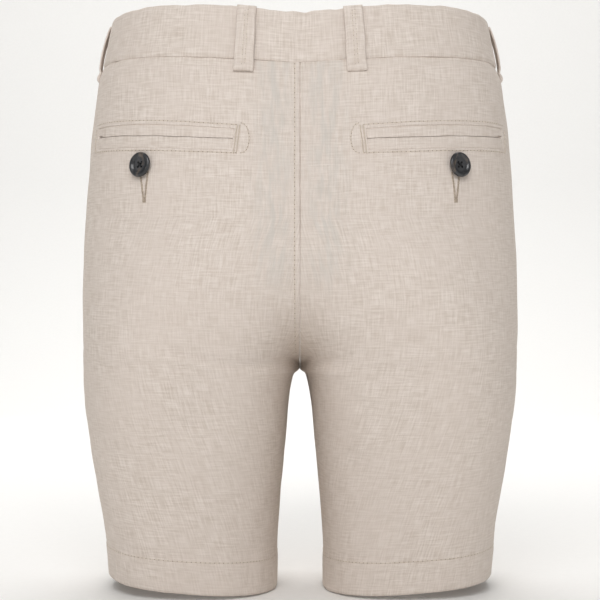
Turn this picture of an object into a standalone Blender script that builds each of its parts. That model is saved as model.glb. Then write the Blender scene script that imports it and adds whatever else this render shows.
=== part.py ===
"""A child's bermuda shorts of woven linen, in the hollow form that they keep when worn.

The wearer faces -Y, +Z is up, and the origin is the middle of the waist opening, halfway up the
waistband. Lengths are metres. The whole cloth surface is one loft between the sections below: each
section runs from the side seam to the centre seam, or to the inseam further down, and every piece
is cut from that surface, moved in or out.
"""

from collections import namedtuple

import bmesh
import bpy
import numpy as np
from mathutils import Matrix, Vector

MM = 0.001

# Cloth and seams
CLOTH = 1.2 * MM  # one layer of the panels
SEAM_GAP = 0.3 * MM  # free space between two pieces at a seam
HEM_HEIGHT = 21 * MM
HEM_WALL = 2.8 * MM  # panel and its turned-up allowance

# Waistband
BAND_HEIGHT = 27 * MM  # down the side seams, and about 30 at the centres
BAND_WALL = 2.8 * MM
BAND_PROUD = 0.8 * MM  # how far the band's face stands outside the panels'
LAP_PAST_CENTRE = 14 * MM  # the wearer's left end, on top
UNDERLAP = 25 * MM  # the wearer's right end, beneath it

# Belt loops
LOOP_WIDTH = 11.2 * MM
LOOP_WALL = 1.6 * MM
LOOP_BOW = 1.5 * MM  # how far the strap bows off the band, for the belt
LOOP_BELOW_SEAM = 7.7 * MM
LOOP_FROM_CENTRE_BACK = 33 * MM
LOOP_FROM_CENTRE_FRONT = 60 * MM

# Back pockets, double welted, measured along the cloth
POCKET_INNER_END = 38.5 * MM  # from the centre back seam
POCKET_OUTER_END = 144 * MM
POCKET_DROP = 46 * MM  # from the waist seam at the side to the slit
WELT_HEIGHT = 6.4 * MM
WELT_WALL = 1.0 * MM
SLIT = 0.4 * MM
RECESS = 1.4 * MM  # the panel is pressed in by this behind the welts
RECESS_EDGE = 0.8 * MM  # width of the step round that recess

# Buttons
BUTTON_RADIUS = 7.6 * MM
BUTTON_THICKNESS = 3.0 * MM
BUTTON_HOLE_RADIUS = 0.85 * MM
BUTTON_HOLE_SPACING = 2.6 * MM
BUTTON_GAP = 0.4 * MM
BUTTON_FROM_CENTRE_BACK = 97.5 * MM
BUTTON_DROP = 63.5 * MM

# Fly
ZIP_HALF_WIDTH = 11 * MM
ZIP_ROWS = 5  # of the front panels' rows, from the waist seam down
ZIP_WALL = 1.2 * MM

# Sections of the loft, in millimetres. side_* is the side seam, back_* and front_* the other end of
# the section on each half: height, distance behind or before the side seams, and the deepest that
# the half bulges. back_lift raises the middle of the back half, inner_x is the leg's inmost reach,
# 0 where both legs are one, and inner_square is how square the section's inner half is.
Section = namedtuple(
    "Section",
    "side_z side_x back_z back_y back_depth back_lift front_z front_y front_depth inner_x "
    "inner_square",
)
SECTIONS = (
    Section(11.5, 118.4, 9.8, 82.0, 82.0, 5.5, 12.5, 76.0, 76.0, 0, 2.35),  # top of the waistband
    Section(-15.5, 123.9, -20.3, 87.0, 87.0, 3.0, -17.5, 80.0, 80.0, 0, 2.35),  # waist seam
    Section(-24.5, 127.0, -29.6, 89.5, 89.5, 2.6, -26.5, 82.0, 82.0, 0, 2.35),
    Section(-34.5, 128.6, -40.2, 92.0, 92.0, 2.2, -36.5, 84.0, 84.0, 0, 2.35),
    Section(-59.0, 131.9, -65.5, 98.0, 98.0, 1.5, -61.0, 87.5, 87.5, 0, 2.35),
    Section(-84.5, 133.6, -90.0, 102.5, 102.5, 0.8, -86.0, 89.0, 89.0, 0, 2.35),
    Section(-110.0, 135.4, -114.0, 105.0, 105.0, 0, -110.0, 89.0, 89.5, 0, 2.5),  # seat
    Section(-135.0, 136.6, -138.0, 104.2, 105.2, 0, -134.0, 86.5, 89.0, 0, 2.8),
    Section(-155.0, 136.7, -158.0, 98.0, 103.6, 0, -156.0, 79.0, 87.8, 0, 3.1),
    Section(-175.0, 136.6, -178.0, 82.0, 100.4, 0, -178.0, 62.0, 85.9, 0, 3.3),
    Section(-190.5, 136.5, -192.5, 54.0, 97.4, 0, -193.0, 37.0, 84.1, 0, 3.4),
    Section(-203.8, 136.4, -203.8, 0.0, 94.3, 0, -203.8, 0.0, 82.3, 0, 3.4),  # crotch
    Section(-207.3, 136.3, -207.3, 1.2, 93.5, 0, -207.3, -1.2, 81.8, 4.1, 3.4),
    Section(-224.5, 135.4, -225.0, 8.5, 89.5, 0, -225.0, -8.5, 79.3, 7.4, 3.25),
    Section(-250.0, 132.2, -252.0, 15.5, 82.8, 0, -252.0, -15.5, 75.2, 9.6, 3.0),
    Section(-276.0, 128.2, -280.0, 19.5, 76.0, 0, -280.0, -19.5, 71.0, 12.0, 2.75),
    Section(-301.0, 124.1, -307.0, 21.0, 70.3, 0, -307.0, -21.0, 67.2, 14.0, 2.6),
    Section(-320.0, 121.9, -327.5, 22.0, 66.5, 0, -327.5, -22.0, 64.6, 14.5, 2.5),
    Section(-333.3, 120.9, -341.7, 22.0, 64.4, 0, -341.7, -22.0, 63.0, 14.5, 2.45),  # hem
)
TABLE = np.array(SECTIONS) * ([MM] * 10 + [1])
SEAM_DROP = BAND_HEIGHT  # drop is measured down the side seam from the band's top
HEM_DROP = TABLE[0, 0] - TABLE[-1, 0]
CROTCH_ROW = 11
OUTER_SQUARE = 2.35  # exponent of the superellipse's outer half: 2 is an ellipse, more is boxier
BRIDGE = 10 * MM  # within this of the centre plane the halves bend round to meet it squarely
CURVE_STEPS = 181

# Colours, as linear red, green and blue
LINEN = (0.70, 0.64, 0.56)
DARK_HORN = (0.02, 0.02, 0.022)
ZIP_TAPE = (0.60, 0.55, 0.47)


def smooth_through(at, knots, values):
    """A smooth curve through the pairs of knot and value that never overshoots them: cubic pieces,
    with the harmonic mean of the two neighbouring slopes at each knot."""
    step = np.diff(knots)
    rise = np.diff(values) / step
    slope = np.zeros(len(knots))
    slope[0], slope[-1] = rise[0], rise[-1]
    before, after = rise[:-1], rise[1:]
    steady = before * after > 0
    slope[1:-1][steady] = (2 * before * after)[steady] / (before + after)[steady]
    i = np.clip(np.searchsorted(knots, at, side="right") - 1, 0, len(step) - 1)
    t = (at - knots[i]) / step[i]
    return (
        values[i] * (1 + 2 * t) * (1 - t) ** 2
        + slope[i] * step[i] * t * (1 - t) ** 2
        + values[i + 1] * t**2 * (3 - 2 * t)
        + slope[i + 1] * step[i] * t**2 * (t - 1)
    )


def section_curve(half, drop):
    """The outer surface along one section of the wearer's left side, from the side seam to the
    centre seam or inseam. A superellipse starts at the side seam and ends where its depth is the
    seam's: a quarter turn at the waist, about half a turn on a leg."""
    place = Section(*(smooth_through(drop, TABLE[0, 0] - TABLE[:, 0], c) for c in TABLE.T))
    behind = half == "back"
    seam_z = place.back_z if behind else place.front_z
    seam_y = place.back_y if behind else place.front_y
    depth = place.back_depth if behind else place.front_depth
    depth_beyond = place.front_depth if behind else place.back_depth
    outer_x = np.hypot(place.side_x, BRIDGE)
    ratio = np.clip(seam_y / (depth if seam_y >= 0 else depth_beyond), -1, 1)
    turn = np.pi - np.sign(ratio) * np.arcsin(abs(ratio) ** (place.inner_square / 2))
    if drop <= TABLE[0, 0] - TABLE[CROTCH_ROW, 0]:
        reach = abs(np.cos(turn)) ** (2 / place.inner_square)
        half_width = (outer_x - BRIDGE) / (1 + reach)
    else:
        half_width = (outer_x - np.hypot(place.inner_x, BRIDGE)) / 2
    angle = np.linspace(0, turn, CURVE_STEPS)
    cosine, sine = np.cos(angle), np.sin(angle)
    power = 2 / np.where(cosine >= 0, OUTER_SQUARE, place.inner_square)
    wide_x = outer_x - half_width + half_width * np.sign(cosine) * abs(cosine) ** power
    x = np.sqrt(np.maximum(wide_x**2 - BRIDGE**2, 0))
    y = np.where(sine >= 0, depth, depth_beyond) * np.sign(sine) * abs(sine) ** power
    share = lengths(np.stack([x, y], 1))
    share = share / share[-1]
    z = place.side_z + (seam_z - place.side_z) * share**2 * (3 - 2 * share)
    if behind:
        z = z + place.back_lift * np.sin(np.pi * share)
    return np.stack([x, y if behind else -y, z], 1)


def lengths(points):
    """Distance run along a line of points, at each of them."""
    steps = np.linalg.norm(np.diff(points, axis=0), axis=1)
    return np.concatenate([[0], np.cumsum(steps)])


def cloth(half, drops, shares):
    """Points of the outer surface of the wearer's left side and their unit normals, one row for
    each drop and one column for each share of the section's length from the side seam."""
    points, normals = [], []
    for drop in drops:
        curve = section_curve(half, drop)
        share = lengths(curve) / lengths(curve)[-1]
        down = section_curve(half, drop + 0.5 * MM) - section_curve(half, drop - 0.5 * MM)
        normal = np.cross(down, np.gradient(curve, axis=0)) * (1 if half == "back" else -1)
        points.append([np.interp(shares, share, c) for c in curve.T])
        normals.append([np.interp(shares, share, c) for c in normal.T])
    points, normals = np.array(points).transpose(0, 2, 1), np.array(normals).transpose(0, 2, 1)
    return points, normals / np.linalg.norm(normals, axis=2, keepdims=True)


def section_length(half, drop):
    return lengths(section_curve(half, drop))[-1]


def mirrored(points):
    return points * np.array([-1, 1, 1])


# ---------------------------------------------------------------------------------------------
# Making objects


def material(name, colour, roughness, metallic=0.0):
    made = bpy.data.materials.new(name)
    made.use_nodes = True
    shader = made.node_tree.nodes["Principled BSDF"]
    shader.inputs["Base Color"].default_value = (*colour, 1)
    shader.inputs["Roughness"].default_value = roughness
    shader.inputs["Metallic"].default_value = metallic
    return made


def add_object(name, mesh, surface, collection):
    made = bpy.data.objects.new(name, mesh)
    mesh.materials.append(surface)
    collection.objects.link(made)
    return made


def add_wall(name, outer, inner, facing_out, surface, collection):
    """A closed wall lofted between two grids of points of the same size. facing_out says whether a
    quad taken down the first column and back up the second faces away from the body."""
    rows, columns = outer.shape[:2]
    index = np.arange(rows * columns).reshape(rows, columns)
    quads = np.stack([index[:-1, :-1], index[1:, :-1], index[1:, 1:], index[:-1, 1:]], 2)
    quads = quads.reshape(-1, 4)
    rim = np.concatenate([index[:, 0], index[-1, 1:], index[-2::-1, -1], index[0, -2:0:-1]])
    after = np.roll(rim, -1)
    back = rows * columns
    sides = np.stack([rim, rim + back, after + back, after], 1)
    turned = [0, 3, 2, 1]  # the other way round, with the same diagonal
    faces = np.concatenate([quads, quads[:, turned] + back, sides])
    mesh = bpy.data.meshes.new(name)
    points = np.concatenate([outer.reshape(-1, 3), inner.reshape(-1, 3)])
    mesh.from_pydata(points, [], faces if facing_out else faces[:, turned])
    mesh.shade_smooth()
    return add_object(name, mesh, surface, collection)


def add_panel(name, points, normals, wall, half, left, surface, collection):
    """A wall of cloth on the wearer's left or its mirror image, inwards from its outer points. It
    keeps half a seam gap clear of the centre plane."""
    inner = points - normals * wall
    for grid in (points, inner):
        grid[..., 0] = np.maximum(grid[..., 0], SEAM_GAP / 2)
    if not left:
        points, inner = mirrored(points), mirrored(inner)
    add_wall(name, points, inner, (half == "back") == left, surface, collection)


# ---------------------------------------------------------------------------------------------
# Panels: each leg's back and front run from the waist seam to the hem in one piece


def pocket_lines(half_height, inner, outer):
    """Drops and distances from the centre back of a rectangle round the pocket slit."""
    slit = SEAM_DROP + POCKET_DROP
    return (slit - half_height, slit + half_height), (inner, outer)


def pressed_in(drop, from_centre):
    """How deep the panel is pressed in behind the welts at a place: a flat recess with sloping
    edges."""
    drops, ends = pocket_lines(WELT_HEIGHT, POCKET_INNER_END, POCKET_OUTER_END)
    inside = np.minimum(
        np.minimum(drop - drops[0], drops[1] - drop)[:, None],
        np.minimum(from_centre - ends[0], ends[1] - from_centre)[None, :],
    )
    return RECESS * np.clip(inside / RECESS_EDGE + 0.5, 0, 1)


def with_steps(lines, edges, keep_clear):
    """Grid lines with a pair added at each edge of the recess, for its step, and with any others
    that lie too near them taken out."""
    pairs = [e + s * RECESS_EDGE / 2 for e in edges for s in (-1, 1)]
    far = [v for v in lines if min(abs(v - p) for p in pairs) > keep_clear]
    return np.array(sorted(far + pairs))


def panel_drops(count):
    """Grid lines down a panel, closer round the crotch, and with a step at the hem's top edge."""
    top, crotch = SEAM_DROP + SEAM_GAP, TABLE[0, 0] - TABLE[CROTCH_ROW, 0]
    hem_top = HEM_DROP - HEM_HEIGHT
    above = np.linspace(top, crotch - 36 * MM, count)
    round_crotch = crotch + np.array([-26, -17, -10, -5, -1.5, 2.5, 8, 16]) * MM
    leg = np.linspace(crotch + 28 * MM, hem_top, 5)
    return np.concatenate([above, round_crotch, leg, [hem_top + RECESS_EDGE, HEM_DROP]])


def walls(drops):
    """The panels' wall along each grid line: thicker in the hem."""
    in_hem = drops > HEM_DROP - HEM_HEIGHT + RECESS_EDGE / 2
    return np.where(in_hem, HEM_WALL, CLOTH)[:, None, None]


def trimmed(shares, length):
    """Shares of a section from 0 to 1, drawn in by half a seam gap at both ends."""
    edge = SEAM_GAP / 2 / length
    return edge + shares * (1 - 2 * edge)


def back_panel(left, surface, collection):
    length = section_length("back", SEAM_DROP + POCKET_DROP)
    edges_down, edges_across = pocket_lines(WELT_HEIGHT, POCKET_INNER_END, POCKET_OUTER_END)
    drops = with_steps(panel_drops(9), edges_down, 3 * MM)
    graded = length * np.linspace(0, 1, 17) ** 1.2
    from_centre = with_steps(graded, edges_across, 3 * MM)[::-1]
    shares = trimmed(1 - from_centre / length, length)
    points, normals = cloth("back", drops, shares)
    points = points - normals * pressed_in(drops, from_centre)[:, :, None]
    name = f"back_panel_{'left' if left else 'right'}"
    add_panel(name, points, normals, walls(drops), "back", left, surface, collection)


def front_shares():
    """Grid lines down a front panel, closer towards the centre, one of them at the zip's edge."""
    length = section_length("front", SEAM_DROP)
    zip_edge = ZIP_HALF_WIDTH / length
    graded = zip_edge + (1 - zip_edge) * np.linspace(1, 0, 13) ** 1.15
    return trimmed(1 - np.append(graded, [zip_edge / 2, 0]), length)


def front_panel(left, surface, collection):
    drops, shares = panel_drops(7), front_shares()
    points, normals = cloth("front", drops, shares)
    name = f"front_panel_{'left' if left else 'right'}"
    add_panel(name, points, normals, walls(drops), "front", left, surface, collection)


# ---------------------------------------------------------------------------------------------
# Waistband: one strip all round, whose ends lap at the centre front


def round_waist(run, drops):
    """Points and outward normals of the outer surface, a row for each distance run round the waist
    from the centre back, positive towards the wearer's left, and a column for each drop."""
    back, front = section_length("back", SEAM_DROP), section_length("front", SEAM_DROP)
    whole = 2 * (back + front)
    run = (run + whole / 2) % whole - whole / 2
    distance = abs(run)
    on_back = cloth("back", drops, 1 - np.clip(distance / back, 0, 1))
    on_front = cloth("front", drops, np.clip((distance - back) / front, 0, 1))
    side = np.where(run < 0, -1, 1)[:, None, None] ** np.array([1, 0, 0])
    return [
        np.where((distance <= back)[:, None, None], b.transpose(1, 0, 2), f.transpose(1, 0, 2))
        * side
        for b, f in zip(on_back, on_front)
    ]


def waistband(surface, collection):
    back, front = section_length("back", SEAM_DROP), section_length("front", SEAM_DROP)
    to_centre_front = back + front
    start, end = -to_centre_front - UNDERLAP, to_centre_front + LAP_PAST_CENTRE
    runs = np.unique(
        np.concatenate(
            [
                np.linspace(start, -to_centre_front + 40 * MM, 8),
                np.linspace(-to_centre_front + 40 * MM, to_centre_front - 30 * MM, 47),
                np.linspace(to_centre_front - 30 * MM, end, 6),
            ]
        )
    )
    drops = np.array([0, BAND_HEIGHT / 2, BAND_HEIGHT - SEAM_GAP / 2])
    points, normal = round_waist(runs, drops)
    # The right end dips under the left one over a short ramp just outside the lap.
    ramp = np.clip((-runs - to_centre_front + LAP_PAST_CENTRE + 16 * MM) / (12 * MM), 0, 1)
    under = (BAND_WALL + SEAM_GAP) * ramp**2 * (3 - 2 * ramp)
    points = points + normal * (BAND_PROUD - under)[:, None, None]
    add_wall("waistband", points, points - normal * BAND_WALL, True, surface, collection)


# ---------------------------------------------------------------------------------------------
# Belt loops: straps caught in the band's top edge and tacked below the waist seam


def belt_loop(name, run, surface, collection):
    drops = np.linspace(0.2 * MM, SEAM_DROP + LOOP_BELOW_SEAM, 9)
    across = np.linspace(-LOOP_WIDTH / 2, LOOP_WIDTH / 2, 3)
    points, normal = round_waist(run + across, drops)
    way = np.linspace(0, 1, len(drops))
    seat = np.where(drops < SEAM_DROP + 2 * MM, BAND_PROUD, 0) + SEAM_GAP
    lift = seat + LOOP_WALL + LOOP_BOW * np.sin(np.pi * way) ** 0.8
    points = points + normal * lift[None, :, None]
    add_wall(name, points, points - normal * LOOP_WALL, True, surface, collection)


# ---------------------------------------------------------------------------------------------
# Back pockets: two folded welts that fill the recess and meet at the slit


def welt(name, upper, left, surface, collection):
    length = section_length("back", SEAM_DROP + POCKET_DROP)
    slit = SEAM_DROP + POCKET_DROP
    clear = RECESS_EDGE / 2 + SEAM_GAP
    near, far = SLIT / 2, WELT_HEIGHT - clear
    drops = slit + (np.array([-far, -near]) if upper else np.array([near, far]))
    from_centre = np.linspace(POCKET_OUTER_END - clear, POCKET_INNER_END + clear, 15)
    shares = trimmed(1 - from_centre / length, length)
    points, normals = cloth("back", drops, shares)
    add_panel(name, points, normals, WELT_WALL, "back", left, surface, collection)


# ---------------------------------------------------------------------------------------------
# Buttons: turned discs with a raised rim and four holes


def button_mesh(surface, helpers):
    """A mesh of one button, its back at the origin and its face towards +Z."""
    r, t = BUTTON_RADIUS, BUTTON_THICKNESS
    profile = (
        (0, 0.62 * t), (0.58 * r, 0.66 * t), (0.72 * r, 0.92 * t), (0.86 * r, t),
        (0.97 * r, 0.80 * t), (r, 0.55 * t), (0.88 * r, 0.15 * t), (0.66 * r, 0), (0, 0),
    )  # fmt: skip
    outline = bpy.data.meshes.new("button_profile")
    edges = [(i, i + 1) for i in range(len(profile) - 1)]
    outline.from_pydata([(x, 0, z) for x, z in profile], edges, [])
    turned = add_object("button_blank", outline, surface, helpers)
    screw = turned.modifiers.new("turn", "SCREW")
    screw.steps = screw.render_steps = 24
    screw.use_merge_vertices = True
    screw.merge_threshold = 0.00001
    drill_mesh = bpy.data.meshes.new("button_drill")
    bits = bmesh.new()
    for i in range(4):
        sign_x, sign_y = (1 if i % 2 else -1), (1 if i // 2 else -1)
        at = Vector((sign_x, sign_y, 0)) * BUTTON_HOLE_SPACING / 2
        bmesh.ops.create_cone(
            bits, cap_ends=True, segments=8, radius1=BUTTON_HOLE_RADIUS,
            radius2=BUTTON_HOLE_RADIUS, depth=4 * t, matrix=Matrix.Translation(at),
        )  # fmt: skip
    bits.to_mesh(drill_mesh)
    bits.free()
    drill = add_object("button_drill", drill_mesh, surface, helpers)
    cut = turned.modifiers.new("holes", "BOOLEAN")
    cut.object = drill
    for helper in (turned, drill):
        helper.hide_render = True
        helper.display_type = "WIRE"
    bpy.context.view_layer.update()
    evaluated = turned.evaluated_get(bpy.context.evaluated_depsgraph_get())
    mesh = bpy.data.meshes.new_from_object(evaluated)
    mesh.name = "button"
    return mesh


def place_button(name, mesh, point, normal, stand_off, collection):
    """Sets a button on the cloth, its back at stand_off from the point and its holes square."""
    made = bpy.data.objects.new(name, mesh)
    facing = Vector(normal)
    made.rotation_euler = facing.to_track_quat("Z", "Y").to_euler()
    made.location = Vector(point) + facing * stand_off
    collection.objects.link(made)


def pocket_button(left, mesh, collection):
    drop = SEAM_DROP + BUTTON_DROP
    length = section_length("back", drop)
    shares = [1 - BUTTON_FROM_CENTRE_BACK / length]
    points, normals = cloth("back", [drop], shares)
    point, normal = points[0, 0], normals[0, 0]
    if not left:
        point, normal = mirrored(point), mirrored(normal)
    name = f"pocket_button_{'left' if left else 'right'}"
    place_button(name, mesh, point, normal, BUTTON_GAP, collection)


def waistband_button(mesh, collection):
    back, front = section_length("back", SEAM_DROP), section_length("front", SEAM_DROP)
    points, normal = round_waist(np.array([back + front]), [BAND_HEIGHT / 2])
    lift = BAND_PROUD + BUTTON_GAP
    place_button("waistband_button", mesh, points[0, 0], normal[0, 0], lift, collection)


# ---------------------------------------------------------------------------------------------
# Zip: the closed fly zip, tapes and teeth as one strip, behind the centre front seam


def fly_zip(surface, collection):
    """The strip lies behind the front panels' last three grid lines and their mirror images."""
    points, normals = cloth("front", panel_drops(7)[:ZIP_ROWS], front_shares()[-3:])
    outer = points - normals * (CLOTH + SEAM_GAP)
    inner = outer - normals * ZIP_WALL
    outer, inner = (np.concatenate([g, mirrored(g)[:, ::-1]], axis=1) for g in (outer, inner))
    add_wall("fly_zip", outer, inner, False, surface, collection)


def main():
    for leftover in list(bpy.data.objects):
        bpy.data.objects.remove(leftover)
    shorts = bpy.data.collections.new("bermuda_shorts")
    helpers = bpy.data.collections.new("cutters")
    for collection in (shorts, helpers):
        bpy.context.scene.collection.children.link(collection)
    linen = material("linen", LINEN, 0.9)
    horn = material("dark_horn", DARK_HORN, 0.35)
    tape = material("zip_tape", ZIP_TAPE, 0.8)
    button = button_mesh(horn, helpers)
    waist_back = section_length("back", SEAM_DROP)
    waist_half = waist_back + section_length("front", SEAM_DROP)
    for left in (True, False):
        side = "left" if left else "right"
        sign = 1 if left else -1
        back_panel(left, linen, shorts)
        front_panel(left, linen, shorts)
        welt(f"welt_upper_{side}", True, left, linen, shorts)
        welt(f"welt_lower_{side}", False, left, linen, shorts)
        pocket_button(left, button, shorts)
        belt_loop(f"belt_loop_back_{side}", sign * LOOP_FROM_CENTRE_BACK, linen, shorts)
        belt_loop(f"belt_loop_side_{side}", sign * waist_back, linen, shorts)
        from_front = waist_half - LOOP_FROM_CENTRE_FRONT
        belt_loop(f"belt_loop_front_{side}", sign * from_front, linen, shorts)
    waistband(linen, shorts)
    waistband_button(button, shorts)
    fly_zip(tape, shorts)


main()
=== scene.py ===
"""Looks for a child's bermuda shorts of slub linen, seen from behind in the form that they keep
when worn. Metres, +Z up. The wearer faces -Y, so the back of the garment faces +Y, and the
wearer's left is +X."""

import math
from collections import namedtuple

import bmesh
import bpy
import numpy as np
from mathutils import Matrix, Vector


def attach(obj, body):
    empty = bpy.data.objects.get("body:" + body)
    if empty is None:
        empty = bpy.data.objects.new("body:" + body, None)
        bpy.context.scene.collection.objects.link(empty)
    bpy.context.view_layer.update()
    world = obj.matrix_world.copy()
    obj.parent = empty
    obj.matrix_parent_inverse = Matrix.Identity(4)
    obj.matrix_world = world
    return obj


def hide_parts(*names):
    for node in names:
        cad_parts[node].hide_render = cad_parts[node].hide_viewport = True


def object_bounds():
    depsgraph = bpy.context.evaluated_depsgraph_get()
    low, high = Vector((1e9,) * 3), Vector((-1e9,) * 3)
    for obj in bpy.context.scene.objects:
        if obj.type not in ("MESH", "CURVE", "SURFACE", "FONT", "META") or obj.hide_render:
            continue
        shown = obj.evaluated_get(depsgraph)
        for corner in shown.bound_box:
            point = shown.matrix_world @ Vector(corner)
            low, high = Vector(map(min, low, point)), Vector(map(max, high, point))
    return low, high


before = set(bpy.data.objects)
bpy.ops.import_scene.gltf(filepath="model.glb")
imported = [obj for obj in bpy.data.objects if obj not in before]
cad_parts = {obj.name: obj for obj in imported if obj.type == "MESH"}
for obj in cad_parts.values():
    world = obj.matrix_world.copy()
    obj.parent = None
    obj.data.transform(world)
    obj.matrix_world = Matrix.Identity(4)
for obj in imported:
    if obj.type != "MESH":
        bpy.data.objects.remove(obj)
cad_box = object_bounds()
MM = 0.001

# =============================================================================================
# Cloth form
# All the cloth pieces lie on one surface, which the wearer's body would fill: round at the waist
# and seat, forking into two legs. It is a loft of sections, each from the side seam to the centre
# seam, or to the inseam further down.

Section = namedtuple(
    "Section",
    "side_z side_x back_z back_y back_depth back_lift front_z front_y front_depth inner_x "
    "inner_square",
)
SECTIONS = (
    Section(11.5, 118.4, 9.8, 82.0, 82.0, 5.5, 12.5, 76.0, 76.0, 0, 2.35),  # top of the waistband
    Section(-15.5, 123.9, -20.3, 87.0, 87.0, 3.0, -17.5, 80.0, 80.0, 0, 2.35),  # waist seam
    Section(-24.5, 127.0, -29.6, 89.5, 89.5, 2.6, -26.5, 82.0, 82.0, 0, 2.35),
    Section(-34.5, 128.6, -40.2, 92.0, 92.0, 2.2, -36.5, 84.0, 84.0, 0, 2.35),
    Section(-59.0, 131.9, -65.5, 98.0, 98.0, 1.5, -61.0, 87.5, 87.5, 0, 2.35),
    Section(-84.5, 133.6, -90.0, 102.5, 102.5, 0.8, -86.0, 89.0, 89.0, 0, 2.35),
    Section(-110.0, 135.4, -114.0, 105.0, 105.0, 0, -110.0, 89.0, 89.5, 0, 2.5),  # seat
    Section(-135.0, 136.6, -138.0, 104.2, 105.2, 0, -134.0, 86.5, 89.0, 0, 2.8),
    Section(-155.0, 136.7, -158.0, 98.0, 103.6, 0, -156.0, 79.0, 87.8, 0, 3.1),
    Section(-175.0, 136.6, -178.0, 82.0, 100.4, 0, -178.0, 62.0, 85.9, 0, 3.3),
    Section(-190.5, 136.5, -192.5, 54.0, 97.4, 0, -193.0, 37.0, 84.1, 0, 3.4),
    Section(-203.8, 136.4, -203.8, 0.0, 94.3, 0, -203.8, 0.0, 82.3, 0, 3.4),  # crotch
    Section(-207.3, 136.3, -207.3, 1.2, 93.5, 0, -207.3, -1.2, 81.8, 4.1, 3.4),
    Section(-224.5, 135.4, -225.0, 8.5, 89.5, 0, -225.0, -8.5, 79.3, 7.4, 3.25),
    Section(-250.0, 132.2, -252.0, 15.5, 82.8, 0, -252.0, -15.5, 75.2, 9.6, 3.0),
    Section(-276.0, 128.2, -280.0, 19.5, 76.0, 0, -280.0, -19.5, 71.0, 12.0, 2.75),
    Section(-301.0, 124.1, -307.0, 21.0, 70.3, 0, -307.0, -21.0, 67.2, 14.0, 2.6),
    Section(-320.0, 121.9, -327.5, 22.0, 66.5, 0, -327.5, -22.0, 64.6, 14.5, 2.5),
    Section(-333.3, 120.9, -341.7, 22.0, 64.4, 0, -341.7, -22.0, 63.0, 14.5, 2.45),  # hem
)
TABLE = np.array(SECTIONS) * ([MM] * 10 + [1])
WAIST_SEAM = TABLE[0, 0] - TABLE[1, 0]  # "drop" runs down the side seam from the band's top
CROTCH = TABLE[0, 0] - TABLE[11, 0]
HEM_EDGE = TABLE[0, 0] - TABLE[-1, 0]
OUTER_SQUARE = 2.35
BRIDGE = 10 * MM


def smooth_through(at, knots, values):
    """Cubic pieces through the knots, with the harmonic mean of the two slopes at each one."""
    step = np.diff(knots)
    rise = np.diff(values) / step
    slope = np.zeros(len(knots))
    slope[0], slope[-1] = rise[0], rise[-1]
    before, after = rise[:-1], rise[1:]
    steady = before * after > 0
    slope[1:-1][steady] = (2 * before * after)[steady] / (before + after)[steady]
    i = np.clip(np.searchsorted(knots, at, side="right") - 1, 0, len(step) - 1)
    t = (at - knots[i]) / step[i]
    return (
        values[i] * (1 + 2 * t) * (1 - t) ** 2
        + slope[i] * step[i] * t * (1 - t) ** 2
        + values[i + 1] * t**2 * (3 - 2 * t)
        + slope[i + 1] * step[i] * t**2 * (t - 1)
    )


def run_along(points):
    """Distance run along a line of points, at each of them."""
    return np.append(0, np.cumsum(np.linalg.norm(np.diff(points, axis=0), axis=1)))


def section_curve(half, drop):
    """One section: x = middle + half width * cos(a)^(2/n), y = depth * sin(a)^(2/n), a superellipse
    run from the side seam, a = 0, to where its depth is the seam's own."""
    place = Section(*(smooth_through(drop, TABLE[0, 0] - TABLE[:, 0], c) for c in TABLE.T))
    behind = half == "back"
    seam_z = place.back_z if behind else place.front_z
    seam_y = place.back_y if behind else place.front_y
    depth = place.back_depth if behind else place.front_depth
    depth_beyond = place.front_depth if behind else place.back_depth
    outer_x = np.hypot(place.side_x, BRIDGE)
    ratio = np.clip(seam_y / (depth if seam_y >= 0 else depth_beyond), -1, 1)
    turn = np.pi - np.sign(ratio) * np.arcsin(abs(ratio) ** (place.inner_square / 2))
    if drop <= CROTCH:
        half_width = (outer_x - BRIDGE) / (1 + abs(np.cos(turn)) ** (2 / place.inner_square))
    else:
        half_width = (outer_x - np.hypot(place.inner_x, BRIDGE)) / 2
    angle = np.linspace(0, turn, 241)
    cosine, sine = np.cos(angle), np.sin(angle)
    power = 2 / np.where(cosine >= 0, OUTER_SQUARE, place.inner_square)
    wide_x = outer_x - half_width + half_width * np.sign(cosine) * abs(cosine) ** power
    x = np.sqrt(np.maximum(wide_x**2 - BRIDGE**2, 0))
    y = np.where(sine >= 0, depth, depth_beyond) * np.sign(sine) * abs(sine) ** power
    share = run_along(np.stack([x, y], 1))
    share = share / share[-1]
    z = place.side_z + (seam_z - place.side_z) * share**2 * (3 - 2 * share)
    if behind:
        z = z + place.back_lift * np.sin(np.pi * share)
    return np.stack([x, y if behind else -y, z], 1)


FORM_DROPS = np.arange(-3 * MM, HEM_EDGE + 1.5 * MM, 0.5 * MM)
FORM_SHARES = np.linspace(0, 1, 401)


def form_table(half):
    """Points, unit normals and section lengths of one half of the wearer's left side, on a fine
    grid of drop by share of the section's length from the side seam."""
    rows, sizes = [], []
    for drop in FORM_DROPS:
        curve = section_curve(half, drop)
        run = run_along(curve)
        rows.append([np.interp(FORM_SHARES * run[-1], run, c) for c in curve.T])
        sizes.append(run[-1])
    points = np.array(rows).transpose(0, 2, 1)
    down, across = np.gradient(points, axis=0), np.gradient(points, axis=1)
    normal = np.cross(down, across) * (1 if half == "back" else -1)
    return points, normal / np.linalg.norm(normal, axis=2, keepdims=True), np.array(sizes)


FORM = {half: form_table(half) for half in ("back", "front")}


def section_length(half, drop):
    """Length of a half section, from the side seam to the centre seam or inseam."""
    return np.interp(drop, FORM_DROPS, FORM[half][2])


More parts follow.
